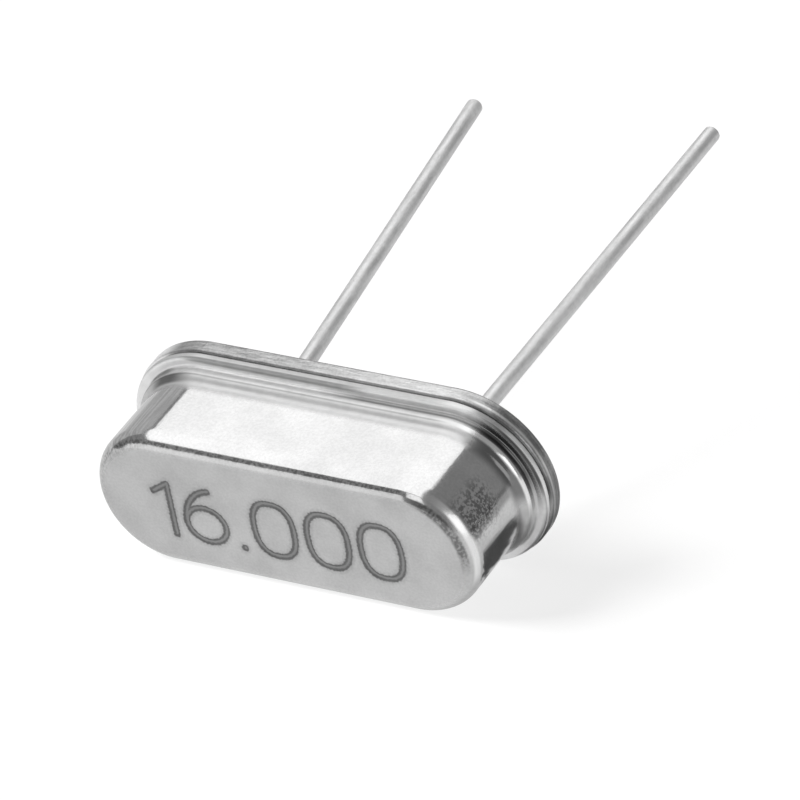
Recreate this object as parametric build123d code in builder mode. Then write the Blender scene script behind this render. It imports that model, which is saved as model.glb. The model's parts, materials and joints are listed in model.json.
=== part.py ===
from build123d import *
from math import asin, atan2, cos, degrees, hypot, radians, sin, tan
import os

# Low-profile quartz crystal in a welded metal can with two wire leads.
# It lies on its long side, as such a crystal comes to rest on a table.
# All lengths are in millimetres.

# Plan: every outline is a slot about the same two end centres, which the ends of the quartz blank reach past
blank_length = 8.0
blank_past_centre = 0.735

# Base: coined plate with a welded rim and a raised middle
base_rim = 0.43
base_rim_round = 0.08
base_foot_chamfer = 0.06
base_middle_rise = 0.40
base_to_can_gap = 0.05

# Cover: deep-drawn can with a shoulder, a stepped foot and a flange, all of one sheet.
# The radii are those of its outer face.
sheet = 0.22
can_width = 3.70
case_height = 3.43
crown_radius = 0.50
wall_foot_radius = 0.20
shoulder_rise = 0.16
step_out = 0.16
step_rise = 0.34
step_radius = 0.27
flange_reach = 0.26
flange_setback = 0.05
flange_chamfer = 0.06

# Leads: round wire with a flat head inside, bent outwards below the base
lead_pitch = 4.88
lead_diameter = 0.43
lead_length = 13.4
lead_stub = 0.8
lead_bend_radius = 2.0
lead_tip_chamfer = 0.06
lead_rise = 0.25
lead_head_diameter = 0.90
lead_head_thickness = 0.12
left_lead_out_deg = 5.7
left_lead_up_deg = 0.8
right_lead_out_deg = 2.9
right_lead_up_deg = 2.4

# Glass seals: beads with a hollow meniscus on the outside
seal_diameter = 1.50
seal_meniscus = 0.08

# Clips: spring strips in a Z bend, welded to the lead heads
clip_thickness = 0.10
clip_width = 1.50
clip_bend_radius = 0.15
clip_rise = 0.55
clip_past_head = 0.05
clip_past_blank = 0.25
blank_bearing = 0.70

# Quartz blank, its two electrode films and the adhesive at its ends
blank_width = 1.90
blank_thickness = 0.104
film = 0.02
electrode_length = 3.0
electrode_width = 1.30
electrode_tab_width = 0.60
bond_diameter = 1.00
bond_cap = 0.14

# Sizes that follow from the ones above
end_spacing = blank_length - 2 * blank_past_centre
flange_width = can_width + 2 * (step_out + flange_reach)
base_width = flange_width + 2 * flange_setback
base_height = base_rim + base_middle_rise
base_middle_width = can_width - 2 * sheet - 2 * base_to_can_gap
lead_radius = lead_diameter / 2
seal_radius = seal_diameter / 2
lead_head_seat = base_height + lead_rise
clip_low = lead_head_seat + lead_head_thickness + clip_thickness / 2
clip_high = clip_low + clip_rise
clip_inner_end = lead_pitch / 2 - lead_head_diameter / 2 - clip_past_head
clip_riser = blank_length / 2 - blank_bearing
clip_outer_end = blank_length / 2 + clip_past_blank
shelf_top = clip_high + clip_thickness / 2
blank_seat = shelf_top + film
blank_top = blank_seat + blank_thickness
bond_height = film + blank_thickness + bond_cap

# Lean at rest: the table touches the round of the base's rim and the round of the crown's edge.
# With the two round centres apart by rest_out across and rest_along up the can, the table is their
# common tangent, turned from the can's wall by this angle.
rest_out = (base_width / 2 - base_rim_round) - (can_width / 2 - crown_radius)
rest_along = (case_height - crown_radius) - (base_rim - base_rim_round)
lean = atan2(rest_out, rest_along) + asin((base_rim_round - crown_radius) / hypot(rest_out, rest_along))
print("lean at rest, degrees:", round(degrees(lean), 3))

# Datum planes: the seat is the underside of the base with its normal up the can, the section is the
# upright plane along the can and the cross section the one across it, each with its second axis up the can
seat = Plane(origin=(0, 0, 0), x_dir=(1, 0, 0), z_dir=(0, -cos(lean), -sin(lean)))
section = Plane(origin=seat.origin, x_dir=seat.x_dir, z_dir=-seat.y_dir)
cross_section = Plane(origin=seat.origin, x_dir=seat.y_dir, z_dir=seat.x_dir)
can_axis = Axis(seat.origin, seat.z_dir)

# Middle line of the cover's sheet, from the centre of the crown down the wall to the flange
crown_line = case_height - sheet / 2
wall_line = can_width / 2 - sheet / 2
step_line = wall_line + step_out
flange_line = base_rim + sheet / 2
step_height = flange_line + step_rise
sheet_line = [
    (0, crown_line),
    (wall_line, crown_line),
    (wall_line, step_height + shoulder_rise),
    (step_line, step_height),
    (step_line, flange_line),
]
# Bends of that line: half a sheet tighter where the outer face bulges, half a sheet wider where it is hollow
sheet_bends = [
    crown_radius - sheet / 2,
    wall_foot_radius + sheet / 2,
    step_radius - sheet / 2,
]


# Section through the sheet with its flange, on one side of the can's axis or on both
def sheet_section(plane, both_walls):
    with BuildSketch(plane) as drawn:
        with BuildLine():
            FilletPolyline(*sheet_line, radius=sheet_bends)
        trace(line_width=sheet)
        with BuildLine():
            Line((step_line - sheet / 2, flange_line), (flange_width / 2, flange_line))
        trace(line_width=sheet)
        chamfer(drawn.vertices().group_by(Axis.X)[-1], length=flange_chamfer)
        if both_walls:
            mirror(about=Plane.YZ)
    return drawn.sketch


# Cover: the section carried along the straight sides and turned round each end
with BuildPart() as cover:
    extrude(sheet_section(cross_section, True), amount=end_spacing / 2, both=True)
    for end in (-1, 1):
        half_section = sheet_section(cross_section.offset(end * end_spacing / 2), False)
        turn_centre = seat.from_local_coords((end * end_spacing / 2, 0, 0))
        revolve(half_section, axis=Axis(turn_centre, seat.z_dir * -end), revolution_arc=180)
cover.part.label = "cover"

# Base: rim under the flange, raised middle inside the can, one hole for each seal
with BuildPart() as base:
    with BuildSketch(seat):
        SlotCenterToCenter(end_spacing, base_width)
    extrude(amount=base_rim)
    fillet(base.edges().group_by(can_axis)[-1], radius=base_rim_round)
    chamfer(base.edges().group_by(can_axis)[0], length=base_foot_chamfer)
    with BuildSketch(seat.offset(base_rim)):
        SlotCenterToCenter(end_spacing, base_middle_width)
    extrude(amount=base_middle_rise)
    with BuildSketch(seat):
        with GridLocations(lead_pitch, 0, 2, 1):
            Circle(seal_radius)
    extrude(amount=base_height, mode=Mode.SUBTRACT)
base.part.label = "base"

# Quartz blank: a flat strip across the two clips
with BuildPart() as blank:
    with BuildSketch(seat.offset(blank_seat)):
        Rectangle(blank_length, blank_width)
    extrude(amount=blank_thickness)
blank.part.label = "quartz_blank"


# Electrode: a pad in the middle of the blank and a tab that runs out to one end of it
def electrode(height, side, label):
    tab_length = (blank_length - electrode_length) / 2
    with BuildPart() as metal:
        with BuildSketch(seat.offset(height)):
            Rectangle(electrode_length, electrode_width)
            with Locations((side * (electrode_length + tab_length) / 2, 0)):
                Rectangle(tab_length, electrode_tab_width)
        extrude(amount=film)
    metal.part.label = label
    return metal.part


# Lead: flat head inside the can, straight through its seal, then bent out and up to its tip
def lead(side, out_deg, up_deg, label):
    root = side * lead_pitch / 2
    run = lead_length - lead_stub
    top_point = seat.from_local_coords((root, 0, lead_head_seat))
    knee_point = seat.from_local_coords((root, 0, -lead_stub))
    tip_point = seat.from_local_coords(
        (root + side * run * tan(radians(out_deg)), run * tan(radians(up_deg)), -lead_length)
    )
    with BuildPart() as wire:
        with BuildLine() as route:
            FilletPolyline(top_point, knee_point, tip_point, radius=lead_bend_radius)
        with BuildSketch(Plane(origin=route.line @ 0, z_dir=route.line % 0)):
            Circle(lead_radius)
        sweep()
        chamfer(wire.faces().sort_by(can_axis)[0].edges(), length=lead_tip_chamfer)
        with BuildSketch(seat.offset(lead_head_seat)):
            with Locations((root, 0)):
                Circle(lead_head_diameter / 2)
        extrude(amount=lead_head_thickness)
    wire.part.label = label
    return wire.part


# Glass seal: a bead round the lead that fills its hole, hollow at its outer face
def glass_seal(side, label):
    root = seat.from_local_coords((side * lead_pitch / 2, 0, 0))
    middle = (lead_radius + seal_radius) / 2
    with BuildPart() as bead:
        with BuildSketch(Plane(origin=root, x_dir=section.x_dir, z_dir=section.z_dir)):
            with BuildLine():
                ThreePointArc((lead_radius, 0), (middle, seal_meniscus), (seal_radius, 0))
                Polyline(
                    (seal_radius, 0), (seal_radius, base_height), (lead_radius, base_height), (lead_radius, 0)
                )
            make_face()
        revolve(axis=Axis(root, seat.z_dir))
    bead.part.label = label
    return bead.part


# Clip: a strip bent in a Z, its low end on the lead's head and its shelf under the blank's end
def clip(side, label):
    with BuildPart() as strip:
        with BuildSketch(section):
            with BuildLine():
                FilletPolyline(
                    (side * clip_inner_end, clip_low),
                    (side * clip_riser, clip_low),
                    (side * clip_riser, clip_high),
                    (side * clip_outer_end, clip_high),
                    radius=clip_bend_radius,
                )
            trace(line_width=clip_thickness)
        extrude(amount=clip_width / 2, both=True)
    strip.part.label = label
    return strip.part


# Bond: a round dab on the clip's shelf that closes over the blank's end and its electrode tab
def bond(side, tab, label):
    with BuildPart() as dab:
        with BuildSketch(seat.offset(shelf_top)):
            with Locations((side * (clip_outer_end - bond_diameter / 2), 0)):
                Circle(bond_diameter / 2)
        extrude(amount=bond_height)
        add(blank.part, mode=Mode.SUBTRACT)
        add(tab, mode=Mode.SUBTRACT)
    dab.part.label = label
    return dab.part


upper_electrode = electrode(blank_top, -1, "upper_electrode")
lower_electrode = electrode(blank_seat - film, 1, "lower_electrode")

pieces = [cover.part, base.part, blank.part, upper_electrode, lower_electrode]
sides = [
    (-1, "left", left_lead_out_deg, left_lead_up_deg, upper_electrode),
    (1, "right", right_lead_out_deg, right_lead_up_deg, lower_electrode),
]
for side, word, out_deg, up_deg, tab in sides:
    pieces.append(lead(side, out_deg, up_deg, word + "_lead"))
    pieces.append(glass_seal(side, word + "_glass_seal"))
    pieces.append(clip(side, word + "_clip"))
    pieces.append(bond(side, tab, word + "_bond"))

os.makedirs("parts", exist_ok=True)
for piece in pieces:
    export_step(piece, "parts/" + piece.label + ".step")
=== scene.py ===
import json
import bpy
import numpy as np
from mathutils import Matrix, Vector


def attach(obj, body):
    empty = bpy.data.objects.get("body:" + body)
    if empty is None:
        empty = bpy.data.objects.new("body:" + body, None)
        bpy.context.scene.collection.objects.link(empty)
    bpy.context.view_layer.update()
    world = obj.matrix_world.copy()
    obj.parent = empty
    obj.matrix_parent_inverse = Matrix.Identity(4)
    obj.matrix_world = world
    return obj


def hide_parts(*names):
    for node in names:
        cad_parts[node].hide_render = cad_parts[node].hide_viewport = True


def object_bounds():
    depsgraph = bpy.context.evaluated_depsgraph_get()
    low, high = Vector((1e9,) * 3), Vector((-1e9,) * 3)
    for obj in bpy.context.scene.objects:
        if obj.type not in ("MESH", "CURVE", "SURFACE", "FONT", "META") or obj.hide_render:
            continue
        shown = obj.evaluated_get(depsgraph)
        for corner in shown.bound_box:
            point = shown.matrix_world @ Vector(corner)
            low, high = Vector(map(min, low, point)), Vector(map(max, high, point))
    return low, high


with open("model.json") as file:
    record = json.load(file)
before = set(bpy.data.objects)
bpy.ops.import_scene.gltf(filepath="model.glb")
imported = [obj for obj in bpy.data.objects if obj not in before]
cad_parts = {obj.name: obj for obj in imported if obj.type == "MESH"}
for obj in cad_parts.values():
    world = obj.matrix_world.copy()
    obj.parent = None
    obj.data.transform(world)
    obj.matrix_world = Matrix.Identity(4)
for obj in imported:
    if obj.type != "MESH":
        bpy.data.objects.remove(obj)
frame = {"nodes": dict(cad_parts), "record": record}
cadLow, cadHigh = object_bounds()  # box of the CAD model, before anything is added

# The can's own axes, from the mount on its seat: x along the can, y across it, z up it.
# Every surface is worked out in these axes in millimetres, then turned into the row frame in metres.
seatMount = next(m for m in frame["record"]["mounts"] if m["name"] == "board_seat")
canUp = -np.array(seatMount["axis"], float)
canUp = canUp / np.linalg.norm(canUp)
along = np.array([1.0, 0.0, 0.0])
across = np.cross(canUp, along)
canAxes = np.stack([along, across, canUp])
metre = 0.001

# Plan of the can: a slot whose half rounds stand a spacing apart. Then how finely it is cut, how close to a
# round corner a flat face gets a point, and to how many decimals points coincide.
plan = {"endSpacing": 6.53, "straightSteps": 24, "roundSteps": 96, "support": 0.008, "weldDigits": 6}
halfSpan = plan["endSpacing"] / 2


# Quads of a grid of rows and columns; a closed grid joins its last column to its first.
def gridQuads(rows, columns, closed):
    index = np.arange(rows * columns).reshape(rows, columns)
    if closed:
        index = np.concatenate([index, index[:, :1]], axis=1)
    quads = [index[:-1, :-1], index[:-1, 1:], index[1:, 1:], index[1:, :-1]]
    return np.stack(quads, axis=-1).reshape(-1, 4)


# Section line with round corners: an arc that touches both sides takes the place of each corner,
# and each straight gets a point close to either end, which keeps the shading of flat faces flat.
def roundedLine(corners, radii, steps):
    corners = np.array(corners, float)
    line = [corners[:1]]
    for before, corner, after, radius, count in zip(corners, corners[1:], corners[2:], radii, steps):
        goIn = (corner - before) / np.linalg.norm(corner - before)
        goOut = (after - corner) / np.linalg.norm(after - corner)
        turn = np.arccos(np.clip(goIn @ goOut, -1, 1))
        bend = np.sign(goIn[0] * goOut[1] - goIn[1] * goOut[0])
        inward = bend * np.array([-goIn[1], goIn[0]])
        start = corner - goIn * radius * np.tan(turn / 2)
        sweep = np.linspace(0, turn, count + 1)[:, None]
        arc = start + radius * (inward + np.sin(sweep) * goIn - np.cos(sweep) * inward)
        line += [arc[:1] - goIn * plan["support"], arc, arc[-1:] + goOut * plan["support"]]
    return np.concatenate(line + [corners[-1:]])


# Slot path in plan: the centre slides along the straight sides and stands still round the ends,
# so a ring of half width w lies at centre plus w times the outward normal.
def slotPath():
    run = np.linspace(-halfSpan, halfSpan, plan["straightSteps"] + 1)
    turn = np.linspace(0, np.pi, plan["roundSteps"] + 1)[1:-1]
    still = np.full(turn.size, halfSpan)
    quarter = np.full(run.size, np.pi / 2)
    centre = np.concatenate([run, still, run[::-1], -still])
    angle = np.concatenate([quarter, np.pi / 2 - turn, -quarter, -np.pi / 2 - turn])
    return centre, np.cos(angle), np.sin(angle)


# A section of (half width, height) carried once round the slot path.
def sweepSlot(section):
    centre, normalX, normalY = slotPath()
    width, height = section[:, :1], section[:, 1:]
    grid = np.stack(np.broadcast_arrays(centre + width * normalX, width * normalY, height), axis=-1)
    return grid.reshape(-1, 3), gridQuads(len(section), centre.size, True)


# Flat slot face: each point of its upper edge is joined to the point below it on the lower edge.
def slotFace(width, height):
    centre, normalX, normalY = slotPath()
    quarter = plan["roundSteps"] // 2
    upper = np.arange(-quarter, plan["straightSteps"] + 1 + quarter)
    x, y = centre[upper] + width * normalX[upper], width * normalY[upper]
    grid = np.stack([np.stack([x, y, 0 * x + height], -1), np.stack([x, -y, 0 * x + height], -1)])
    return grid.reshape(-1, 3), gridQuads(2, upper.size, False)


# Patches of points and quads, and flat faces over their points, made one. Points that coincide become one,
# and a quad that has closed up becomes a triangle. Also gives which of the old points each new one is.
def joinPatches(patches, polygons):
    starts = np.cumsum([0] + [len(patch[0]) for patch in patches])
    points = np.concatenate([patch[0] for patch in patches])
    quads = np.concatenate([patch[1] + start for patch, start in zip(patches, starts)])
    rounded = np.round(points, plan["weldDigits"]) + 0.0
    first, merged = np.unique(rounded, axis=0, return_index=True, return_inverse=True)[1:]
    merged = merged.reshape(-1)
    quads = merged[quads]
    shut = quads == np.roll(quads, -1, axis=1)
    fours = quads[shut.sum(1) == 0]
    closing = shut.sum(1) == 1
    threes = quads[closing][~shut[closing]].reshape(-1, 3)
    return points[first], [fours, threes] + [merged[polygon][None] for polygon in polygons], first


# One piece from its patches. The place in the can's own axes stays on the mesh for the materials to read.
def makePiece(name, patches, body, node, values=None, polygons=()):
    points, faces, first = joinPatches(patches, polygons)
    corners = np.concatenate([face.ravel() for face in faces])
    sizes = np.concatenate([np.full(len(face), face.shape[1]) for face in faces])
    mesh = bpy.data.meshes.new(name)
    mesh.vertices.add(len(points))
    mesh.vertices.foreach_set("co", (points @ canAxes * metre).astype(np.float32).ravel())
    mesh.loops.add(len(corners))
    mesh.loops.foreach_set("vertex_index", corners.astype(np.int32))
    mesh.polygons.add(len(sizes))
    mesh.polygons.foreach_set("loop_start", np.concatenate([[0], np.cumsum(sizes)[:-1]]).astype(np.int32))
    mesh.polygons.foreach_set("use_smooth", np.ones(len(sizes), bool))
    mesh.update(calc_edges=True)
    place = mesh.attributes.new("canPlace", "FLOAT_VECTOR", "POINT")
    place.data.foreach_set("vector", points.astype(np.float32).ravel())
    for key, value in (values or {}).items():
        layer = mesh.attributes.new(key, "FLOAT", "POINT")
        layer.data.foreach_set("value", value[first].astype(np.float32))
    piece = bpy.data.objects.new(name, mesh)
    bpy.context.scene.collection.objects.link(piece)
    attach(piece, body)
    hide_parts(node)
    return piece


# Cover: a drawn sheet with a flat crown that carries the engraved number. Half widths, heights above the seat
# and rounds are those of its outer face, but the step's height is that of the sheet's middle line.
coverShape = {
    "sheet": 0.22, "crownTop": 3.43, "crownEdge": 1.30, "wall": 1.85, "step": 2.01, "stepHeight": 0.88,
    "flangeUnder": 0.43, "flangeEdge": 2.27,
    "crownRound": 0.50, "footRound": 0.20, "stepRound": 0.27, "cornerRound": 0.07,
    "edgeRounds": (0.09, 0.06), "lipRound": 0.02, "steps": (16, 8, 10, 6, 8, 6, 2, 4, 5, 6),
    "plate": (3.72, 1.06), "plateStep": 0.018,
    "strokeHalf": 0.078, "strokeWall": 0.045, "strokeDepth": 0.022,
}

# The number: the middle lines of its strokes, two of them chains of points, the others ovals about a middle.
# An oval turns between two angles, given in half turns, and a power under one squares it up.
numberShape = {
    "one": ((-3.37, 0.40), (-2.96, 0.68), (-2.96, -0.80)),
    "point": ((-1.10, -0.81), (-1.09, -0.80)),
    "bowl": {"half": (0.53, 0.49), "turn": (0.0, 2.0), "points": 73, "power": 1.0},
    "stem": {"half": (0.86, 1.02), "turn": (1.0, 0.55), "points": 25, "power": 1.0},
    "nought": {"half": (0.54, 0.76), "turn": (0.0, 2.0), "points": 73, "power": 0.8},
    "ovals": (("bowl", -2.05, -0.34), ("stem", -1.72, -0.34),
              ("nought", -0.175, -0.08), ("nought", 1.265, -0.08), ("nought", 2.687, -0.08)),
    "far": 9.0,
}


# Oval stroke: its middle plus its half sizes times the cosine and the sine of the angle, each to the power.
def ovalStroke(kind, x, y):
    s = numberShape[kind]
    angle = np.pi * np.linspace(*s["turn"], s["points"])
    way = np.stack([np.cos(angle), np.sin(angle)], 1)
    return np.array([x, y]) + np.array(s["half"]) * np.sign(way) * np.abs(way) ** s["power"]


# Distance from points on the crown to the nearest stroke, each stroke a chain of short straights. The nearest
# point of a straight lies where the perpendicular meets it, or at its closer end.
def strokeDistance(x, y):
    strokes = [np.array(numberShape[key]) for key in ("one", "point")]
    strokes += [ovalStroke(*oval) for oval in numberShape["ovals"]]
    nearest = np.full(x.shape, numberShape["far"])
    for stroke in strokes:
        for start, end in zip(stroke[:-1], stroke[1:]):
            goX, goY = end - start
            fromX, fromY = x - start[0], y - start[1]
            share = np.clip((fromX * goX + fromY * goY) / (goX ** 2 + goY ** 2), 0, 1)
            nearest = np.minimum(nearest, np.hypot(fromX - share * goX, fromY - share * goY))
    return nearest


# Section of the sheet, down its outer face and up its inner one. The shoulder slopes by half a right angle,
# so its corners lie above the middle line outside, and as far below it inside.
def coverSection():
    s = coverShape
    sheet, flangeTop = s["sheet"], s["flangeUnder"] + s["sheet"]
    shift = sheet / 2 * np.tan(np.pi / 8)
    footHeight = s["stepHeight"] + s["step"] - s["wall"]
    outside = [
        (s["crownEdge"], s["crownTop"]), (s["wall"], s["crownTop"]), (s["wall"], footHeight + shift),
        (s["step"], s["stepHeight"] + shift), (s["step"], flangeTop), (s["flangeEdge"], flangeTop),
    ]
    inside = [
        (s["flangeEdge"], s["flangeUnder"]), (s["step"] - sheet, s["flangeUnder"]),
        (s["step"] - sheet, s["stepHeight"] - shift), (s["wall"] - sheet, footHeight - shift),
        (s["wall"] - sheet, s["crownTop"] - sheet), (s["crownEdge"], s["crownTop"] - sheet),
    ]
    radii = [s["crownRound"], s["footRound"], s["stepRound"], s["cornerRound"], *s["edgeRounds"],
             s["lipRound"], s["stepRound"] - sheet, s["footRound"] + sheet, s["crownRound"] - sheet]
    return roundedLine(outside + inside, radii, s["steps"])


# The section carried round the slot path, with a flat lining inside and a plate with sunk strokes as crown.
def makeCover():
    s = coverShape
    wall = sweepSlot(coverSection())
    lining = slotFace(s["crownEdge"], s["crownTop"] - s["sheet"])
    # the plate is a fine flat grid, sunk along the strokes by a smooth step of the distance to them
    halfX, halfY = s["plate"]
    columns, rows = [int(round(2 * half / s["plateStep"])) + 1 for half in s["plate"]]
    y, x = np.meshgrid(np.linspace(-halfY, halfY, rows), np.linspace(-halfX, halfX, columns), indexing="ij")
    gap = strokeDistance(x, y)
    sink = np.clip((s["strokeHalf"] - gap) / s["strokeWall"], 0, 1)
    sink = sink * sink * (3 - 2 * sink)
    grid = np.stack([x, y, s["crownTop"] - s["strokeDepth"] * sink], -1)
    plate = (grid.reshape(-1, 3), gridQuads(rows, columns, False))
    # four flat faces fill the crown between the plate and the first ring of the wall
    index = np.arange(rows * columns).reshape(rows, columns)
    ring = np.arange(len(slotPath()[0])) + rows * columns
    straight, turn = plan["straightSteps"] + 1, plan["roundSteps"] - 1
    upper, right = ring[:straight], ring[straight - 1:straight + turn + 1]
    lower = ring[straight + turn:2 * straight + turn]
    left = np.r_[ring[2 * straight + turn - 1:], ring[:1]]
    polygons = [np.r_[upper[::-1], index[-1]], np.r_[right[::-1], index[::-1, -1]],
                np.r_[lower[::-1], index[0, ::-1]], np.r_[left[::-1], index[:, 0]]]
    spare = np.full(len(wall[0]) + len(lining[0]), numberShape["far"])
    return makePiece("cover_drawn", [plate, wall, lining], "root", "cover",
                     {"strokeGap": np.r_[gap.ravel(), spare]}, polygons)


# Base: a coined plate, its rim under the cover's flange, its middle raised into the can, a hole for each seal
baseShape = {
    "pastFlange": 0.05, "canGap": 0.05, "middleRise": 0.40, "footInset": 0.12, "topInset": 0.08,
    "radii": (0.06, 0.08, 0.02, 0.03), "steps": (5, 8, 2, 3), "holeRadius": 0.75,
    "splitPoints": 13, "faceShares": (0.0, 0.012, 0.35, 0.7, 1.0),
}
middleTop = coverShape["flangeUnder"] + baseShape["middleRise"]


# Flat half face round one hole: straight lines run from the hole's ring to the edge of that half of the slot.
def holedFace(width, height, ringAngles=None):
    s = baseShape
    holeAt = leadShape["pitch"] / 2
    centre, normalX, normalY = slotPath()
    edge = plan["straightSteps"] // 2 + np.arange(plan["straightSteps"] + plan["roundSteps"] + 1)
    split = np.linspace(-width, width, s["splitPoints"])[1:-1]
    edgeX = np.r_[(centre + width * normalX)[edge], 0 * split]
    edgeY = np.r_[width * normalY[edge], split]
    if ringAngles is None:
        ringAngles = np.arctan2(edgeY, edgeX - holeAt)
    ringX = holeAt + s["holeRadius"] * np.cos(ringAngles)
    ringY = s["holeRadius"] * np.sin(ringAngles)
    share = np.array(s["faceShares"])[:, None]
    x, y = ringX + share * (edgeX - ringX), ringY + share * (edgeY - ringY)
    return np.stack([x, y, height + 0 * x], -1), gridQuads(len(share), edgeX.size, True), ringAngles


# The edge's section carried round the slot path. A flat half face below, one above and the bore between them
# close it round each hole, and the left ones are the right ones mirrored.
def makeBase():
    s = baseShape
    rim, rimTop = coverShape["flangeEdge"] + s["pastFlange"], coverShape["flangeUnder"]
    middle = coverShape["wall"] - coverShape["sheet"] - s["canGap"]
    footEdge, topEdge = rim - s["footInset"], middle - s["topInset"]
    section = roundedLine([
        (footEdge, 0), (rim, 0), (rim, rimTop), (middle, rimTop), (middle, middleTop), (topEdge, middleTop),
    ], s["radii"], s["steps"])
    patches = [sweepSlot(section[::-1])]
    under, quads, angles = holedFace(footEdge, 0.0)
    over = holedFace(topEdge, middleTop, angles)[0]
    bore = np.stack([under[0], over[0]])
    boreQuads = gridQuads(2, bore.shape[1], True)
    for mirror in (1, -1):
        flip = np.array([mirror, 1, 1])
        for face, faceQuads in ((under, quads[:, ::-mirror]), (over, quads[:, ::mirror]),
                                (bore, boreQuads[:, ::mirror])):
            patches.append(((face * flip).reshape(-1, 3), faceQuads))
    return makePiece("base_plate", patches, "root", "base")


# Leads: round wire with a flat head inside the can, bent just below its seal. For each, its side of the can
# and how many degrees it leans outwards and across.
leadShape = {
    "pitch": 4.88, "radius": 0.215, "length": 13.4, "stub": 0.8, "bend": 2.0, "sides": 40,
    "headRise": 0.25, "headThick": 0.12, "headRadius": 0.45, "headRound": 0.02,
    "tipRound": 0.09, "tipRise": 0.8, "tipDome": 0.1, "bendPoints": 13, "shankPoints": 30, "tipPoints": 7,
    "left": (-1, 5.7, 0.8), "right": (1, 2.9, 2.4),
}


# A ring of varying radius carried down the wire: a straight, an arc that touches both straights, a straight.
def makeLead(word):
    s = leadShape
    side, outDegrees, acrossDegrees = s[word]
    root = side * s["pitch"] / 2
    knee = np.array([root, 0, -s["stub"]])
    leanX, leanY = np.tan(np.radians([side * outDegrees, acrossDegrees]))
    tip = knee + (s["length"] - s["stub"]) * np.array([leanX, leanY, -1])
    down = np.array([0, 0, -1.0])
    away = (tip - knee) / np.linalg.norm(tip - knee)
    turn = np.arccos(down @ away)
    hinge = np.cross(down, away) / np.linalg.norm(np.cross(down, away))
    inward = np.cross(hinge, down)
    start = knee - down * s["bend"] * np.tan(turn / 2)
    sweep = np.linspace(0, turn, s["bendPoints"])[:, None]
    arc = start + s["bend"] * (inward + np.sin(sweep) * down - np.cos(sweep) * inward)
    arcWay = np.cos(sweep) * down + np.sin(sweep) * inward
    # the head, from the middle of its top to where the wire leaves the plate
    wide, fillet, wire = s["headRadius"], s["headRound"], s["radius"]
    under = middleTop + s["headRise"]
    top = under + s["headThick"]
    headRing = np.r_[0, wide - fillet, wide, wide, wire, wire]
    headHigh = np.r_[top, top, top - fillet, under, under, 0.0]
    head = np.stack([0 * headHigh + root, 0 * headHigh, headHigh], 1)
    # the shank, its rounded tip and the middle of that
    reach = np.linalg.norm(tip - arc[-1]) - s["tipRound"]
    shank = arc[-1] + np.linspace(0, reach, s["shankPoints"])[1:, None] * away
    quarter = np.linspace(0, np.pi / 2, s["tipPoints"])[1:]
    end = shank[-1] + s["tipRound"] * s["tipRise"] * np.sin(quarter[:, None]) * away
    endRing = wire - s["tipRound"] * (1 - np.cos(quarter))
    middle = np.concatenate([head, arc, shank, end, tip[None] - s["tipDome"] * s["tipRound"] * away])
    straight = np.tile(away, (len(shank) + len(end) + 1, 1))
    way = np.concatenate([np.tile(down, (len(head), 1)), arcWay, straight])
    ring = np.r_[headRing, np.full(len(arc) + len(shank), wire), endRing, 0.0]
    angle = np.arange(s["sides"]) * 2 * np.pi / s["sides"]
    other = np.cross(way, hinge)
    spoke = np.cos(angle)[None, :, None] * hinge + np.sin(angle)[None, :, None] * other[:, None, :]
    grid = middle[:, None, :] + ring[:, None, None] * spoke
    patch = (grid.reshape(-1, 3), gridQuads(len(middle), s["sides"], True))
    return makePiece(word + "_wire", [patch], "root", word + "_lead")


# Glass seals: beads that fill the base's holes round the leads, with a hollow outer face
sealShape = {"hollow": 0.08, "facePoints": 17, "sides": 64}


# A section turned about the lead: the outer face is a parabola as deep as the hollow.
def makeSeal(word):
    s = sealShape
    inner, outer = leadShape["radius"], baseShape["holeRadius"]
    centreX = leadShape[word][0] * leadShape["pitch"] / 2
    share = np.linspace(0, 1, s["facePoints"])
    radius = np.r_[inner + share * (outer - inner), outer, inner]
    height = np.r_[4 * s["hollow"] * share * (1 - share), middleTop, middleTop]
    angle = np.arange(s["sides"]) * 2 * np.pi / s["sides"]
    x = centreX + radius[:, None] * np.cos(angle)
    y = radius[:, None] * np.sin(angle)
    grid = np.stack([x, y, height[:, None] + 0 * x], -1)
    grid = np.concatenate([grid, grid[:1]])
    patch = (grid.reshape(-1, 3), gridQuads(len(grid), s["sides"], True))
    return makePiece(word + "_bead", [patch], "root", word + "_glass_seal")


cover = makeCover()
base = makeBase()
leads = [makeLead(word) for word in ("left", "right")]
seals = [makeSeal(word) for word in ("left", "right")]
print("pieces built")


# Inputs of a node: a socket is linked, any other value is set.
def setInputs(tree, node, inputs):
    for key, value in inputs.items():
        if isinstance(value, bpy.types.NodeSocket):
            tree.links.new(value, node.inputs[key])
        else:
            node.inputs[key].default_value = value


def addNode(tree, kind, inputs, **settings):
    made = tree.nodes.new(kind)
    for key, value in settings.items():
        setattr(made, key, value)
    setInputs(tree, made, inputs)
    return made


def mapRange(tree, value, fromLow, fromHigh, toLow, toHigh):
    inputs = {"Value": value, "From Min": fromLow, "From Max": fromHigh, "To Min": toLow, "To Max": toHigh}
    return addNode(tree, "ShaderNodeMapRange", inputs, interpolation_type="SMOOTHSTEP").outputs["Result"]


# A smooth step from 0, where it starts, to 1, where it is full
def rise(tree, value, start, full):
    return mapRange(tree, value, start, full, 0.0, 1.0)


# A share from 0 to 1 eased into a range
def ease(tree, share, low, high):
    return mapRange(tree, share, 0.0, 1.0, low, high)


def maths(tree, operation, first, second):
    return addNode(tree, "ShaderNodeMath", {0: first, 1: second}, operation=operation).outputs[0]


def fold(tree, operation, values):
    whole = values[0]
    for value in values[1:]:
        whole = maths(tree, operation, whole, value)
    return whole


def product(tree, *values):
    return fold(tree, "MULTIPLY", values)


def total(tree, *values):
    return fold(tree, "ADD", values)


def average(tree, *values):
    return product(tree, total(tree, *values), 1 / len(values))


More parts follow.
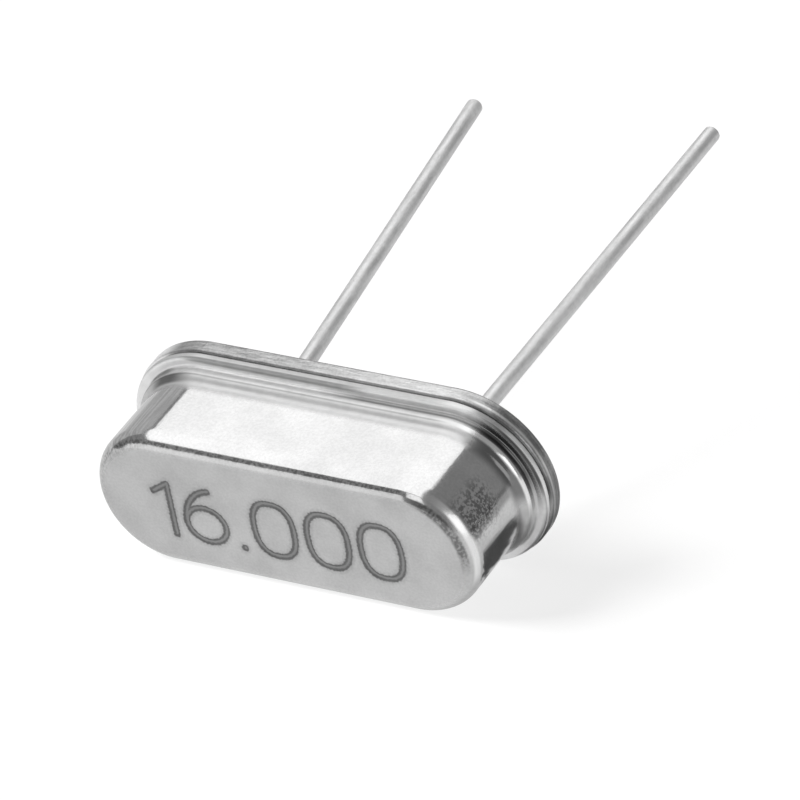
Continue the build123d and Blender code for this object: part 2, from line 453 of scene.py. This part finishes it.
def grey(level):
    return (level, level, level, 1.0)


# Sockets of a Mix node go by number here, because those for values and for colours share their names.
def valueMix(tree, share, first, second):
    return addNode(tree, "ShaderNodeMix", {0: share, 2: first, 3: second}, data_type="FLOAT").outputs[0]


def colourMix(tree, share, first, second):
    return addNode(tree, "ShaderNodeMix", {0: share, 6: first, 7: second}, data_type="RGBA").outputs[2]


def greyMix(tree, share, dark, light):
    return colourMix(tree, share, grey(dark), grey(light))


# A colour times another or times a value
def multiply(tree, first, second):
    inputs = {0: 1.0, 6: first, 7: second}
    return addNode(tree, "ShaderNodeMix", inputs, data_type="RGBA", blend_type="MULTIPLY").outputs[2]


# A colour darkened by a share of itself where the mask is full
def darken(tree, colour, mask, share):
    return multiply(tree, colour, maths(tree, "SUBTRACT", 1.0, product(tree, mask, share)))


# A ramp of greys, each at its place from 0 to 1
def greyRamp(tree, value, tones):
    ramp = addNode(tree, "ShaderNodeValToRGB", {"Fac": value})
    stops = ramp.color_ramp.elements
    stops[0].position, stops[0].color = tones[0][0], grey(tones[0][1])
    stops[1].position, stops[1].color = tones[-1][0], grey(tones[-1][1])
    for spot, level in tones[1:-1]:
        stops.new(spot).color = grey(level)
    return ramp.outputs["Color"]


def bump(tree, height, strength, distance):
    inputs = {"Height": height, "Strength": strength, "Distance": distance}
    return addNode(tree, "ShaderNodeBump", inputs).outputs["Normal"]


# Noise: the part of its range that is spread from 0 to 1, and how fine each kind of it goes
noiseLook = {"range": (0.3, 0.7), "cloudDetail": 3.0, "speckDetail": 2.0, "lineDetail": 3.0}


def noise(tree, place, scale, detail):
    inputs = {"Vector": place, "Scale": scale, "Detail": noiseLook[detail]}
    return rise(tree, addNode(tree, "ShaderNodeTexNoise", inputs).outputs[0], *noiseLook["range"])


# A node group with named sockets: the kinds of its inputs, and its outputs, which are plain values
def newGroup(name, inputs, outputs):
    group = bpy.data.node_groups.new(name, "ShaderNodeTree")
    for label, kind in inputs.items():
        group.interface.new_socket(label, in_out="INPUT", socket_type="NodeSocket" + kind)
    for label in outputs:
        group.interface.new_socket(label, in_out="OUTPUT", socket_type="NodeSocketFloat")
    return group, group.nodes.new("NodeGroupInput").outputs, group.nodes.new("NodeGroupOutput")


# Metal grain: broad clouds and fine specks, and the two mixed into one tone
def metalGrain():
    inputs = {"Place": "Vector", "Cloud Scale": "Float", "Speck Scale": "Float", "Speck Share": "Float"}
    group, given, out = newGroup("metalGrain", inputs, ["Tone", "Clouds", "Specks"])
    clouds = noise(group, given["Place"], given["Cloud Scale"], "cloudDetail")
    specks = noise(group, given["Place"], given["Speck Scale"], "speckDetail")
    tone = valueMix(group, given["Speck Share"], clouds, specks)
    setInputs(group, out, {"Tone": tone, "Clouds": clouds, "Specks": specks})
    return group


# Draw lines: noise pulled out along the way the metal was drawn
def drawLines():
    inputs = {"Place": "Vector", "Pull": "Vector", "Line Scale": "Float"}
    group, given, out = newGroup("drawLines", inputs, ["Lines"])
    places = {0: given["Place"], 1: given["Pull"]}
    pulled = addNode(group, "ShaderNodeVectorMath", places, operation="MULTIPLY").outputs[0]
    setInputs(group, out, {"Lines": noise(group, pulled, given["Line Scale"], "lineDetail")})
    return group


grainGroup = metalGrain()
linesGroup = drawLines()


def useGroup(tree, group, place, settings):
    return addNode(tree, "ShaderNodeGroup", {"Place": place, **settings}, node_tree=group).outputs


def newMaterial(name):
    material = bpy.data.materials.new(name)
    material.use_nodes = True
    tree = material.node_tree
    return material, tree, tree.nodes["Principled BSDF"]


# The place on a piece in the can's own axes, in millimetres
def canPlace(tree):
    return addNode(tree, "ShaderNodeAttribute", {}, attribute_name="canPlace").outputs["Vector"]


def objectPlace(tree):
    return addNode(tree, "ShaderNodeTexCoord", {}).outputs["Object"]


def partsOf(tree, place):
    return addNode(tree, "ShaderNodeSeparateXYZ", {0: place}).outputs


# Marks laid on a colour one after the other. Each band is an axis of the can, where the mark starts and where
# it is full. A mark with a tone takes that grey, one with a share darkens by it, and some are broken up.
def layMarks(tree, colour, marks, parts, breaks):
    for mark in marks.values():
        masks = [rise(tree, parts[axis], start, full) for axis, start, full in mark["bands"]]
        masks += [breaks[mark["broken"]]] if "broken" in mark else []
        mask = product(tree, *masks)
        if "tone" in mark:
            colour = colourMix(tree, mask, colour, grey(mark["tone"]))
        else:
            colour = darken(tree, colour, mask, mark["share"])
    return colour


# Cover finish: satin crown, bright drawn walls, matt foot and flange. A pair of heights or places is where
# something starts and where it is full.
coverFinish = {
    "dark": 0.53, "light": 0.67, "bumpDepth": 4e-6, "bumpStrength": 0.6,
    "crownRough": 0.34, "wallRough": 0.09, "footRough": (0.44, 0.16), "cloudRough": 0.06,
    "crownHeight": (3.43, 3.36), "footHeight": (1.42, 1.08), "flangeHeight": (0.66, 0.62),
    "rightFoot": (3.6, 4.4), "lowerFoot": (0.3, -0.3),
    "cornerAlong": (3.9, 4.5), "cornerHeight": (2.98, 3.10), "cornerRough": 0.13,
    "skinAlong": (4.36, 4.74), "skinAcross": (0.20, 0.72), "skinLow": (1.5, 2.15), "skinHigh": (3.08, 2.92),
    "skinCorner": (1.1, 1.35), "skinTone": (0.30, 0.72), "skinShare": 0.60,
    "tornTone": (0.2, 0.7), "tornShare": (0.55, 1.0), "spotTone": (0.35, 0.70),
    "grain": {"Cloud Scale": 0.9, "Speck Scale": 16.0, "Speck Share": 0.35},
    "skin": {"Cloud Scale": 4.0, "Speck Scale": 14.0, "Speck Share": 0.7},
    "lines": {"Pull": (1.0, 1.0, 0.05), "Line Scale": 14.0},
    "speckHeight": 0.08, "lineHeight": 0.1,
    "strokeReach": 0.2, "strokeRagged": 0.010,
    "strokeTones": ((0.0, 0.50), (0.10, 0.47), (0.25, 0.26), (0.40, 0.31), (0.54, 0.84), (1.0, 1.0)),
}

# Marks on the cover: a paler foot, then painted sheen and highlights, draw streaks, painted shade, a greyer
# flange edge, and grime
coverMarks = {
    "paleFoot": {"bands": [("Z", 1.20, 1.05)], "tone": 0.70},
    # painted sheen: the flange's flat face made nearly white all round, brighter than the sheet it is drawn
    # from
    "paintedFlangeSheen": {"bands": [("Z", 0.60, 0.63), ("Z", 0.74, 0.66)], "tone": 0.97},
    # painted highlight: the flange's edge nearly white at the right end
    "paintedEdgeHighlight": {"bands": [("Z", 0.44, 0.47), ("Z", 0.61, 0.57), ("X", 4.2, 5.0)], "tone": 0.97},
    # painted highlight: a nearly white line along the shoulder at the right end
    "paintedShoulderHighlight": {"bands": [("Z", 0.82, 0.85), ("Z", 0.965, 0.92), ("X", 3.4, 4.0)], "tone": 0.97},
    # painted sheen: foot and step paler on the lower side of the right end
    "paintedLowerSheen": {"bands": [("Z", 0.66, 0.70), ("Z", 1.05, 0.95), ("X", 4.0, 4.8), ("Y", -0.1, -0.6)],
                  "tone": 0.95},
    # painted sheen: the crown's round paler at the right end
    "paintedCornerSheen": {"bands": [("Z", 3.02, 3.10), ("Z", 3.26, 3.19), ("X", 4.0, 4.5), ("Y", -0.9, -0.3)],
                     "tone": 0.90},
    "drawStreaks": {"bands": [("X", -3.2, -3.8), ("Z", 3.43, 3.36), ("Z", 1.08, 1.42)],
                    "share": 0.28, "broken": "lines"},
    # painted shade: the crown's round darker at the right end's upper corner, broken into torn specks
    "paintedCornerShade": {"bands": [("Z", 3.27, 3.32), ("Z", 3.415, 3.385), ("X", 3.5, 4.1), ("Y", -0.4, 0.3)],
                    "share": 0.66, "broken": "torn"},
    # painted shade: a dark spotted line along the crown's round on the upper side, fading out at the right
    # end
    "crownShadeLine": {"bands": [("Z", 3.22, 3.27), ("Z", 3.35, 3.30), ("Y", 0.6, 1.1), ("X", 4.0, 3.3)],
                  "share": 0.42, "broken": "spots"},
    # painted shade: a dark band down the right end's wall beside the speckled skin
    "endShadeBand": {"bands": [("X", 4.3, 4.6), ("Y", 0.40, 0.56), ("Y", 0.84, 0.70), ("Z", 1.2, 1.4),
                          ("Z", 3.10, 2.95)], "share": 0.45},
    # painted shade: the foot darker at the right end's upper side
    "rightFoot": {"bands": [("Z", 0.93, 0.98), ("Z", 1.42, 1.08), ("X", 3.7, 4.5), ("Y", -0.1, 0.45)],
                  "share": 0.66},
    # painted shade: step and flange face darker at the right end's upper side
    "rightStepShade": {"bands": [("Z", 0.580, 0.605), ("Z", 0.86, 0.81), ("X", 3.7, 4.5), ("Y", -0.5, 0.6)],
                  "share": 0.66},
    "edgeShade": {"bands": [("Z", 0.44, 0.47), ("Z", 0.61, 0.57), ("X", 3.85, 4.15), ("X", 4.95, 4.5)],
                  "share": 0.45},
    "edgeGrey": {"bands": [("Z", 0.44, 0.47), ("Z", 0.63, 0.59), ("X", -3.6, -2.8), ("X", 3.6, 2.8)],
                 "share": 0.20},
    # painted shade: a dark line on the flange's outer round at the right end
    "roundShadeLine": {"bands": [("Z", 0.60, 0.62), ("Z", 0.649, 0.643), ("X", 4.4, 4.8), ("Y", -0.1, 0.6)],
                  "share": 0.65},
    # painted shade: a dark line along the step's round on the straight sides
    "stepShadeLine": {"bands": [("Z", 0.88, 0.91), ("Z", 0.95, 0.92), ("X", 3.6, 3.0)], "share": 0.35},
    "flangeShade": {"bands": [("Z", 0.585, 0.615), ("Y", 2.10, 2.17), ("X", 1.4, 0.3), ("X", -4.2, -3.4)],
                    "share": 0.50},
    # painted shade: a dark line in the corner between the flange and the step on the upper side
    "cornerShadeLine": {"bands": [("Z", 0.648, 0.665), ("Z", 0.80, 0.74), ("X", -0.3, 1.2), ("Y", 0.2, 0.8)],
                   "share": 0.55},
    # painted shade: a dark crescent where the wall's foot meets the shoulder at the left end
    "leftShadeCrescent": {"bands": [("Z", 0.86, 0.94), ("Z", 1.13, 1.03), ("X", -3.42, -4.05), ("X", -4.70, -4.30),
                               ("Y", 0.9, 1.2)], "share": 0.66},
    # painted shade: the flange's corner and step darker at the left end
    "leftCornerShade": {"bands": [("Z", 0.645, 0.68), ("Z", 0.90, 0.80), ("X", -3.90, -4.35), ("X", -5.00, -4.70),
                             ("Y", 0.9, 1.2)], "share": 0.55},
    "footGrime": {"bands": [("Z", 1.42, 1.08)], "share": 0.08, "broken": "clouds"},
}


def coverMetal():
    f = coverFinish
    material, tree, shader = newMaterial("coverMetal")
    place = canPlace(tree)
    parts = partsOf(tree, place)
    grain = useGroup(tree, grainGroup, place, f["grain"])
    skin = useGroup(tree, grainGroup, place, f["skin"])
    lines = useGroup(tree, linesGroup, place, f["lines"])["Lines"]

    def within(axis, band):
        return rise(tree, parts[axis], *f[band])

    onWall, onFoot = within("Z", "crownHeight"), within("Z", "footHeight")
    # the engraved strokes: darkest at their walls, half as bright as the crown in their floor, a faint halo
    gap = addNode(tree, "ShaderNodeAttribute", {}, attribute_name="strokeGap").outputs["Fac"]
    gap = total(tree, gap, ease(tree, grain["Specks"], -f["strokeRagged"], f["strokeRagged"]))
    strokes = greyRamp(tree, maths(tree, "DIVIDE", gap, f["strokeReach"]), f["strokeTones"])
    tone = multiply(tree, greyMix(tree, grain["Tone"], f["dark"], f["light"]), strokes)
    # the speckled skin of the right end stops short of the crown, but reaches it at the upper corner
    upTo = maths(tree, "MAXIMUM", within("Z", "skinHigh"), within("Y", "skinCorner"))
    onSkin = product(tree, onWall, upTo, within("X", "skinAlong"), within("Y", "skinAcross"),
                     within("Z", "skinLow"))
    tone = darken(tree, tone, product(tree, onSkin, rise(tree, skin["Tone"], *f["skinTone"])), f["skinShare"])
    breaks = {"lines": lines, "clouds": skin["Clouds"], "spots": rise(tree, skin["Tone"], *f["spotTone"]),
              "torn": mapRange(tree, skin["Tone"], *f["tornTone"], *f["tornShare"])}
    # the marks paint sheen, highlights and shade on the cover's colour, besides the paler foot, draw streaks
    # and grime
    tone = layMarks(tree, tone, coverMarks, parts, breaks)
    # rough on crown and foot, smoother on the upper right of the foot but not on the flange's edge
    foot = mapRange(tree, parts["X"], *f["rightFoot"], *f["footRough"])
    matt = maths(tree, "MAXIMUM", within("Z", "flangeHeight"), within("Y", "lowerFoot"))
    foot = valueMix(tree, matt, foot, f["footRough"][0])
    rough = valueMix(tree, onFoot, valueMix(tree, onWall, f["crownRough"], f["wallRough"]), foot)
    rubbed = product(tree, onWall, within("X", "cornerAlong"), within("Z", "cornerHeight"), f["cornerRough"])
    rough = total(tree, rough, rubbed, product(tree, grain["Clouds"], f["cloudRough"]))
    # fine specks all over, coarse ones on the skin, draw lines on the wall
    height = total(tree, product(tree, grain["Specks"], f["speckHeight"]),
                   product(tree, skin["Specks"], onSkin),
                   product(tree, lines, within("Z", "skinHigh"), f["lineHeight"]))
    normal = bump(tree, height, f["bumpStrength"], f["bumpDepth"])
    setInputs(tree, shader, {"Base Color": tone, "Roughness": rough, "Normal": normal, "Metallic": 1.0})
    return material


# Base finish: a plated plate whose sheared edge is torn and ringed, and brighter towards the right
baseFinish = {
    "dull": (0.24, 0.68), "bright": (0.50, 0.82), "flat": (0.44, 0.58), "rough": (0.30, 0.44),
    "bumpDepth": 8e-6, "bumpStrength": 0.6, "speckHeight": 0.5,
    "grain": {"Cloud Scale": 2.2, "Speck Scale": 18.0, "Speck Share": 0.5},
    "scratches": {"Pull": (0.35, 0.35, 2.2), "Line Scale": 7.0},
    "rings": {"Pull": (0.06, 0.06, 1.6), "Line Scale": 9.0},
    "ringShare": (0.25, 0.75), "brighter": (-3.0, 2.6), "brightEnd": (4.0, 3.0), "rightEnd": (3.2, 4.6),
    "edgeHeight": (0.0, 0.05),
}

# Marks on the plate's edge: a paler line, painted sheen on a ledge and a paler left end first, then the dark
# seam, foot and band, and painted shade on the lower end
baseMarks = {
    # a paler line high on the edge at the right end
    "paleEdgeLine": {"bands": [("Z", 0.25, 0.29), ("Z", 0.36, 0.31), ("X", 3.5, 4.2)], "tone": 0.74},
    # painted sheen: the ledge under the flange paler on the lower side of the right end
    "paintedLedgeSheen": {"bands": [("Z", 0.36, 0.39), ("X", 4.0, 4.8), ("Y", 0.2, -0.4)], "tone": 0.88},
    "paleLeft": {"bands": [("X", -4.0, -4.6), ("Z", 0.0, 0.05)], "tone": 0.93},
    "seam": {"bands": [("Z", 0.385, 0.415), ("Y", -0.6, 0.2), ("X", -4.6, -4.0)], "share": 0.45},
    "foot": {"bands": [("Z", 0.09, 0.05), ("Z", 0.0, 0.05), ("X", 4.6, 3.2)], "share": 0.28},
    # a darker band low on the edge at the right end
    "darkEdgeBand": {"bands": [("Z", 0.09, 0.14), ("Z", 0.25, 0.20), ("X", 3.5, 4.4)], "share": 0.16},
    # painted shade: the edge darker on the lower side of the right end
    "lowerEndShade": {"bands": [("Y", 0.9, 0.2), ("X", 4.4, 5.0), ("Z", 0.0, 0.05)], "share": 0.40},
    # painted shade: the edge darker still at the right end's lowest part, below the ledge
    "lowerTipShade": {"bands": [("Y", -0.4, -1.0), ("X", 4.4, 5.0), ("Z", 0.0, 0.05), ("Z", 0.38, 0.36)],
                 "share": 0.45},
}


def baseMetal():
    f = baseFinish
    material, tree, shader = newMaterial("baseMetal")
    place = canPlace(tree)
    parts = partsOf(tree, place)
    grain = useGroup(tree, grainGroup, place, f["grain"])
    scratches = useGroup(tree, linesGroup, place, f["scratches"])["Lines"]
    rings = useGroup(tree, linesGroup, place, f["rings"])["Lines"]
    onEdge = rise(tree, parts["Z"], *f["edgeHeight"])
    ringed = product(tree, rings, mapRange(tree, parts["X"], *f["rightEnd"], *f["ringShare"]))
    share = product(tree, average(tree, grain["Tone"], scratches), maths(tree, "SUBTRACT", 1.0, ringed))
    brighter = product(tree, rise(tree, parts["X"], *f["brighter"]), rise(tree, parts["X"], *f["brightEnd"]))
    torn = colourMix(tree, brighter, greyMix(tree, share, *f["dull"]), greyMix(tree, share, *f["bright"]))
    tone = colourMix(tree, onEdge, greyMix(tree, grain["Specks"], *f["flat"]), torn)
    tone = layMarks(tree, tone, baseMarks, parts, {})
    rough = ease(tree, grain["Clouds"], *f["rough"])
    height = total(tree, product(tree, grain["Specks"], f["speckHeight"]), product(tree, scratches, onEdge))
    normal = bump(tree, height, f["bumpStrength"], f["bumpDepth"])
    setInputs(tree, shader, {"Base Color": tone, "Roughness": rough, "Normal": normal, "Metallic": 1.0})
    return material


# Lead finish: tinned wire with faint lines along it
leadFinish = {
    "dark": 0.66, "light": 0.88, "rough": (0.54, 0.68), "bumpDepth": 2e-6, "bumpStrength": 0.5,
    "grain": {"Cloud Scale": 1.2, "Speck Scale": 9.0, "Speck Share": 0.5},
    "lines": {"Pull": (1.0, 1.0, 0.06), "Line Scale": 10.0},
}


def leadMetal():
    f = leadFinish
    material, tree, shader = newMaterial("leadMetal")
    place = canPlace(tree)
    grain = useGroup(tree, grainGroup, place, f["grain"])
    lines = useGroup(tree, linesGroup, place, f["lines"])["Lines"]
    tone = greyMix(tree, average(tree, grain["Tone"], lines), f["dark"], f["light"])
    rough = ease(tree, grain["Clouds"], *f["rough"])
    normal = bump(tree, total(tree, lines, grain["Specks"]), f["bumpStrength"], f["bumpDepth"])
    setInputs(tree, shader, {"Base Color": tone, "Roughness": rough, "Normal": normal, "Metallic": 1.0})
    return material


# Seal finish: dark glass with faint flow clouds
sealFinish = {
    "dark": (0.03, 0.035, 0.035, 1), "light": (0.08, 0.09, 0.09, 1), "rough": (0.06, 0.14), "coat": 0.6,
    "grain": {"Cloud Scale": 3.0, "Speck Scale": 20.0, "Speck Share": 0.3},
}


def sealGlass():
    f = sealFinish
    material, tree, shader = newMaterial("sealGlass")
    grain = useGroup(tree, grainGroup, canPlace(tree), f["grain"])
    tone = colourMix(tree, grain["Tone"], f["dark"], f["light"])
    rough = ease(tree, grain["Clouds"], *f["rough"])
    setInputs(tree, shader, {"Base Color": tone, "Roughness": rough, "Coat Weight": f["coat"]})
    return material


# Finishes of the pieces inside the can, which are the CAD model's own, and what these share
innerFinish = {
    "clipMetal": {"nodes": ("left_clip", "right_clip"), "dark": (0.50, 0.50, 0.48, 1),
                  "light": (0.66, 0.66, 0.64, 1), "rough": (0.28, 0.42), "metallic": 1.0},
    "quartzPlate": {"nodes": ("quartz_blank",), "dark": (0.78, 0.82, 0.84, 1),
                    "light": (0.90, 0.93, 0.94, 1), "rough": (0.10, 0.22), "metallic": 0.0},
    "electrodeSilver": {"nodes": ("upper_electrode", "lower_electrode"), "dark": (0.78, 0.77, 0.75, 1),
                        "light": (0.90, 0.89, 0.87, 1), "rough": (0.16, 0.28), "metallic": 1.0},
    "bondAdhesive": {"nodes": ("left_bond", "right_bond"), "dark": (0.42, 0.42, 0.40, 1),
                     "light": (0.60, 0.60, 0.58, 1), "rough": (0.55, 0.75), "metallic": 0.0},
}
innerGrain = {"Cloud Scale": 900.0, "Speck Scale": 9000.0, "Speck Share": 0.5}
innerBump = {"strength": 0.4, "distance": 2e-6}


def innerMaterial(name, f):
    material, tree, shader = newMaterial(name)
    grain = useGroup(tree, grainGroup, objectPlace(tree), innerGrain)
    tone = colourMix(tree, grain["Tone"], f["dark"], f["light"])
    rough = ease(tree, grain["Clouds"], *f["rough"])
    normal = bump(tree, grain["Specks"], **innerBump)
    setInputs(tree, shader, {"Base Color": tone, "Roughness": rough, "Normal": normal,
                             "Metallic": f["metallic"]})
    return material


def giveFinish(pieces, material):
    for piece in pieces:
        piece.data.materials.clear()
        piece.data.materials.append(material)


giveFinish([cover], coverMetal())
giveFinish([base], baseMetal())
giveFinish(leads, leadMetal())
giveFinish(seals, sealGlass())
for name, finish in innerFinish.items():
    giveFinish([frame["nodes"][node] for node in finish["nodes"]], innerMaterial(name, finish))
print("materials done")

# Floor: white to the camera and pale in the metal, and it keeps the object's shadow. A soft dark patch beside
# the right end is a painted shadow that shows in the metal only, as the dark band down that end. World: grey
# in the metal, pale to the camera, and little light of its own.
stageLook = {
    "floorSize": 3.0, "floorColour": 0.22, "floorLift": 0.58, "floorRough": 0.9,
    "cameraColour": 0.24, "cameraLift": 0.80,
    "patchAt": (0.00602, 0.0002, 0.0), "patchTurn": (0.0, 0.0, 0.88), "patchHalf": (0.0024, 0.0011, 1.0),
    "patchEdge": 1.0, "patchFull": 0.65, "patchRagged": 0.16, "raggedScale": 2000.0,
    "patchColour": 0.03, "patchLift": 0.08,
    "worldLight": 0.05, "worldMirrored": 0.28, "worldSeen": 0.90,
}


# One value for the light on other things, one for what shows in metal and glass, one for the camera
def byRay(tree, plain, mirrored, seen):
    ray = addNode(tree, "ShaderNodeLightPath", {}).outputs
    onShine = maths(tree, "MAXIMUM", ray["Is Glossy Ray"], ray["Is Transmission Ray"])
    return valueMix(tree, ray["Is Camera Ray"], valueMix(tree, onShine, plain, mirrored), seen)


def makeFloor():
    s = stageLook
    half = s["floorSize"] / 2
    mesh = bpy.data.meshes.new("floor")
    corners = [(-half, -half, 0), (half, -half, 0), (half, half, 0), (-half, half, 0)]
    mesh.from_pydata(corners, [], [(0, 1, 2, 3)])
    floor = bpy.data.objects.new("floor", mesh)
    floor.location.z = cadLow.z
    bpy.context.scene.collection.objects.link(floor)
    material, tree, shader = newMaterial("floorWhite")
    # the patch is a painted shadow, an oval with a ragged edge
    place = objectPlace(tree)
    inputs = {"Vector": place, "Location": s["patchAt"], "Rotation": s["patchTurn"], "Scale": s["patchHalf"]}
    oval = addNode(tree, "ShaderNodeMapping", inputs, vector_type="TEXTURE").outputs["Vector"]
    away = addNode(tree, "ShaderNodeVectorMath", {0: oval}, operation="LENGTH").outputs["Value"]
    swing = product(tree, noise(tree, place, s["raggedScale"], "speckDetail"), 2 * s["patchRagged"])
    away = maths(tree, "SUBTRACT", total(tree, away, swing), s["patchRagged"])
    patch = rise(tree, away, s["patchEdge"], s["patchFull"])
    ray = addNode(tree, "ShaderNodeLightPath", {}).outputs
    colour = greyMix(tree, patch, s["floorColour"], s["patchColour"])
    colour = colourMix(tree, ray["Is Camera Ray"], colour, grey(s["cameraColour"]))
    lift = byRay(tree, 0.0, ease(tree, patch, s["floorLift"], s["patchLift"]), s["cameraLift"])
    setInputs(tree, shader, {"Base Color": colour, "Roughness": s["floorRough"], "Specular IOR Level": 0.0,
                             "Emission Color": grey(1.0), "Emission Strength": lift})
    mesh.materials.append(material)


def makeWorld():
    s = stageLook
    world = bpy.data.worlds.new("studio")
    world.use_nodes = True
    tree = world.node_tree
    level = byRay(tree, s["worldLight"], s["worldMirrored"], s["worldSeen"])
    setInputs(tree, tree.nodes["Background"], {"Color": grey(1.0), "Strength": level})
    bpy.context.scene.world = world


# Soft boxes: the middle, the way the lit face looks, its sides and its brightness. One is for the metal only,
# and one, which the metal doesn't show, is for the floor.
softBoxes = {
    "topBox": {"place": (-0.094, 0.095, 0.30), "look": (0, 0, -1), "size": (0.312, 0.67), "bright": 1.26,
               "only": "metal"},
    "frontBox": {"place": (-0.36, -0.34, 0.085), "look": (0, 1, 0), "size": (0.50, 0.17), "bright": 0.78},
    "leftBox": {"place": (-0.40, 0.20, 0.20), "look": (1, 0, 0), "size": (0.42, 0.40), "bright": 0.32},
    "rightBox": {"place": (0.424, -0.118, 0.135), "look": (-0.922, 0.256, -0.292), "size": (0.34, 0.27),
                 "bright": 0.92},
    "edgeBox": {"place": (-0.0125, -0.359, 0.271), "look": (0.028, 0.798, -0.602), "size": (0.16, 0.19),
                "bright": 1.15},
    "floorBox": {"place": (-0.45, -0.25, 0.45), "look": (0.66, 0.36, -0.66), "size": (0.30, 0.30),
                 "bright": 24.0, "only": "floor"},
}
steepLook = 0.9  # a box that looks down more steeply than this has its side worked out from y, not from z


# A lamp or the camera put in its place, with its own x to the right, its y up and its back along z
def aim(thing, right, up, place):
    turned = Matrix(np.stack([right, up, np.cross(right, up)], axis=1).tolist()).to_4x4()
    turned.translation = place
    thing.matrix_world = turned
    bpy.context.scene.collection.objects.link(thing)


def makeSoftBox(name, box):
    look = np.array(box["look"], float) / np.linalg.norm(box["look"])
    side = np.cross(look, (0, 1.0, 0) if abs(look[2]) > steepLook else (0, 0, 1.0))
    side = side / np.linalg.norm(side)
    lamp = bpy.data.lights.new(name, "AREA")
    lamp.shape = "RECTANGLE"
    lamp.size, lamp.size_y = box["size"]
    lamp.energy = box["bright"] * np.pi * box["size"][0] * box["size"][1]
    lampObject = bpy.data.objects.new(name, lamp)
    lampObject.visible_camera = False
    lampObject.visible_glossy = box.get("only") != "floor"
    lampObject.visible_diffuse = box.get("only") != "metal"
    aim(lampObject, side, np.cross(-look, side), box["place"])


makeFloor()
makeWorld()
for name, box in softBoxes.items():
    makeSoftBox(name, box)
print("floor and light done")

# Camera as fitted to the outlines of the can, the rim and the leads
cameraFit = {
    "place": (0.0680562, -0.1081682, 0.0655078), "lens": 274.981, "sensor": 36.0, "clip": (0.001, 10.0),
    "right": (0.8679775, 0.4912211, -0.0729167), "up": (-0.1658635, 0.4251578, 0.8897922),
}
cameraData = bpy.data.cameras.new("camera")
cameraData.lens, cameraData.sensor_width = cameraFit["lens"], cameraFit["sensor"]
cameraData.clip_start, cameraData.clip_end = cameraFit["clip"]
camera = bpy.data.objects.new("camera", cameraData)
aim(camera, cameraFit["right"], cameraFit["up"], cameraFit["place"])
bpy.context.scene.camera = camera
bpy.context.scene.view_settings.view_transform = "Standard"
print("camera done")

bpy.context.view_layer.update()
